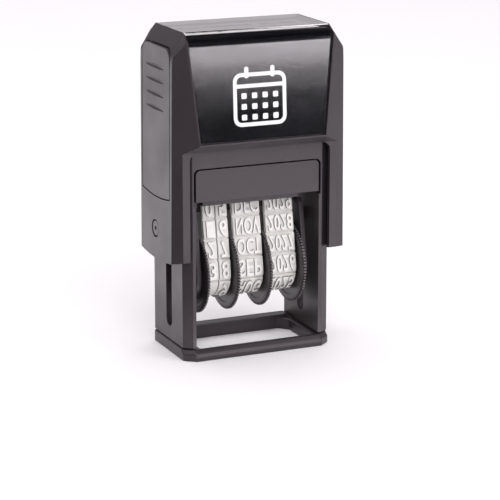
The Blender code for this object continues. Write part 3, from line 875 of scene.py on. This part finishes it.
def imprint_card():
    """The white card under the clear cover, showing what the stamp prints: plain marks and a date."""
    low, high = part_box("imprint_card")
    centre = (low + high) / 2
    wide, deep, edge = (high.x - low.x) / 2, (high.y - low.y) / 2, 0.08 * MM

    def place(a, b, o):
        return Vector((centre.x + a, centre.y + b, high.z + o))

    def build_card(work):
        thick = low.z - high.z
        loops = []
        for inset, out in ((edge, thick), (0, thick + edge), (0, -edge), (edge, 0)):
            outline = rounded_box(-wide + inset, -deep + inset, wide - inset, deep - inset, 0.9 * MM)
            loops.append([place(a, b, out) for a, b in outline])
        bridge(work, loops)

    def place_date(a, b, o):
        return place(a, b - DATE_DOWN, o)

    def build_print(work):
        for x0, x1 in MARKS:
            slab(work, rounded_box(x0 * MM, 2.0 * MM, x1 * MM, 4.0 * MM, 0.4 * MM, 3), place, 0, PRINT)
        text_mesh(work, DATE, DATE_WIDTH, DATE_HEIGHT, place_date, [], (0, PRINT), (0, 0), -0.004)

    piece("imprint_card_rounded", "cap", [CARD], build_card, "imprint_card", 40)
    piece("imprint_print", "cap", [PRINT_BLACK], build_print)


def text_die():
    """The rubber plate beside the date, with two raised rules."""
    low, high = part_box("text_die")
    edge, rule_raise, rule_inset, rule_near, rule_far = 0.15 * MM, 0.25 * MM, 0.6 * MM, 0.25 * MM, 0.7 * MM

    def block(work, x0, x1, y0, y1, top):
        levels = [(low.z, 0), (top - edge / 2, 0), (top, edge / 2)]
        bridge(work, [[(x0 + i, y0 + i, z), (x1 - i, y0 + i, z), (x1 - i, y1 - i, z), (x0 + i, y1 - i, z)]
                      for z, i in levels])

    def build(work):
        left, right = low.x + rule_inset, high.x - rule_inset
        block(work, low.x, high.x, low.y, high.y, high.z - rule_raise)
        block(work, left, right, low.y + rule_near, low.y + rule_far, high.z)
        block(work, left, right, high.y - rule_far, high.y - rule_near, high.z)

    piece("text_die_rubber", "carriage", [TYPE_RUBBER], build, "text_die")


# Stage ------------------------------------------------------------------------------------------------

def softbox(name, azimuth, distance, height, across, tall, brightness, aim=0.03):
    """A softbox of a size and brightness, which only lights and is not itself in the picture."""
    data = bpy.data.lights.new(name, "AREA")
    data.shape = "RECTANGLE"
    data.size, data.size_y = across, tall
    data.energy = brightness * math.pi * across * tall
    data.color = LIGHT_TINT
    light = bpy.data.objects.new(name, data)
    light.location = heading(azimuth, distance, height)
    light.rotation_euler = (Vector((0, 0, aim)) - light.location).to_track_quat("-Z", "Y").to_euler()
    light.visible_camera = False
    SCENE.collection.objects.link(light)


def stage_mesh(name, points, material):
    mesh = bpy.data.meshes.new(name)
    mesh.from_pydata(points, [], [range(len(points))])
    mesh.materials.append(material)
    item = bpy.data.objects.new(name, mesh)
    SCENE.collection.objects.link(item)
    return item


def card_in_reflections(name, points, brightness):
    """A black or a glowing card of a photographer: it only shows in reflections."""
    made = Shader(name, (0.002, 0.002, 0.002), 1.0, specular=0.0)
    made.main.inputs["Emission Color"].default_value = (*LIGHT_TINT, 1)
    made.main.inputs["Emission Strength"].default_value = brightness
    item = stage_mesh(name, points, made.material)
    item.visible_camera = False
    item.visible_diffuse = False
    item.visible_shadow = False


def heading(degrees, distance, height):
    """A point seen from the stamp at an azimuth, measured like the camera's: 0 in front, positive right."""
    angle = math.radians(degrees)
    return (math.sin(angle) * distance, -math.cos(angle) * distance, height)


def floor_and_world():
    made = Shader("floor_white", (0.93, 0.925, 0.93), 0.9, specular=0.0)
    made.tint(made.spread(made.noise(0.3, 2.0), 0.0, 1.0), FLOOR_DARK, FLOOR_LIGHT)
    corners = ((-1, -1), (1, -1), (1, 1), (-1, 1))
    stage_mesh("floor", [(x * FLOOR_HALF, y * FLOOR_HALF, 0) for x, y in corners], made.material)
    world = bpy.data.worlds.new("studio")
    SCENE.world = world
    world.use_nodes = True
    back = world.node_tree.nodes["Background"]
    back.inputs["Color"].default_value = (1.0, 0.98, 1.0, 1)
    back.inputs["Strength"].default_value = WORLD
    SCENE.view_settings.view_transform = "Standard"


def softboxes():
    softbox("top_softbox", *TOP_BOX)
    softbox("key_softbox", *KEY_BOX)
    softbox("right_softbox", *RIGHT_BOX)
    softbox("strip_softbox", *STRIP_BOX, aim=STRIP_BOX[2])
    softbox("back_softbox", *BACK_BOX)


def floor_card(name, start, end, near, far, brightness, steps=10):
    """A part of a ring on the floor."""
    angles = [start + (end - start) * t / steps for t in range(steps + 1)]
    inner = [heading(angle, near, CARD_LIFT) for angle in angles]
    outer = [heading(angle, far, CARD_LIFT) for angle in angles]
    card_in_reflections(name, inner + outer[::-1], brightness)


def upright_card(name, start, end, distance, top):
    """A black card that stands on the floor."""
    corners = [heading(start, distance, 0), heading(end, distance, 0),
               heading(end, distance, top), heading(start, distance, top)]
    card_in_reflections(name, corners, 0)


def arch_cards():
    """A black arch close over the cap's front edge, which keeps the clear cover's bend dark."""
    azimuth, radius, half, axis_height, ahead, first, step, count = ARCH_CARDS
    for i in range(count):
        start, end = first + step * i, first + step * (i + 1)
        points = []
        for rise, side in ((start, -1), (start, 1), (end, 1), (end, -1)):
            rise = math.radians(rise)
            x, y, z = heading(azimuth, radius * math.cos(rise), axis_height + radius * math.sin(rise))
            across = heading(azimuth + 90, half * side, 0)
            points.append((x + across[0], y + across[1] - ahead, z))
        card_in_reflections(f"arch_card_{i}", points, 0)


def reflection_cards():
    for name, spec in FLOOR_CARDS.items():
        floor_card(name, *spec)
    upright_card("dark_wall_card", *WALL_CARD)
    upright_card("skirt_card", *SKIRT_CARD)
    left, right, far, near, height, brightness = FOOT_CARD
    corners = [(left, near, height), (right, near, height), (right, far, height), (left, far, height)]
    card_in_reflections("foot_bounce_card", corners, brightness)
    arch_cards()


def camera():
    data = bpy.data.cameras.new("camera")
    data.sensor_width = 36
    data.lens = LENS
    data.clip_start = 0.01
    item = bpy.data.objects.new("camera", data)
    item.location = CAMERA_PLACE
    item.rotation_euler = (CAMERA_AIM - CAMERA_PLACE).to_track_quat("-Z", "Y").to_euler()
    SCENE.collection.objects.link(item)
    SCENE.camera = item


camera()
floor_and_world()
softboxes()
reflection_cards()
for band_name in LABELS:
    band(band_name)
    wheel(band_name)
spring()
ink_pad()
side_grip("side_grip_left", -1)
side_grip("side_grip_right", 1)
clear_cover()
cover_insert()
front_sign()
imprint_card()
text_die()

for node in ("cap_shell", "frame_body", "base_foot"):
    paint(node, SATIN_BLACK)
    round_edges(node, 0.3 * MM)
slope_foot()
for node in ("pad_cassette", "cheek_left", "cheek_right", "type_bridge", "text_holder"):
    paint(node, SATIN_BLACK)
    round_edges(node, 0.25 * MM)
for node in ("pivot_pin_left", "pivot_pin_right"):
    paint(node, WHEEL_BLACK)
    round_edges(node, 0.12 * MM)
paint("wheel_axle", STEEL)
round_edges("wheel_axle", 0.12 * MM)
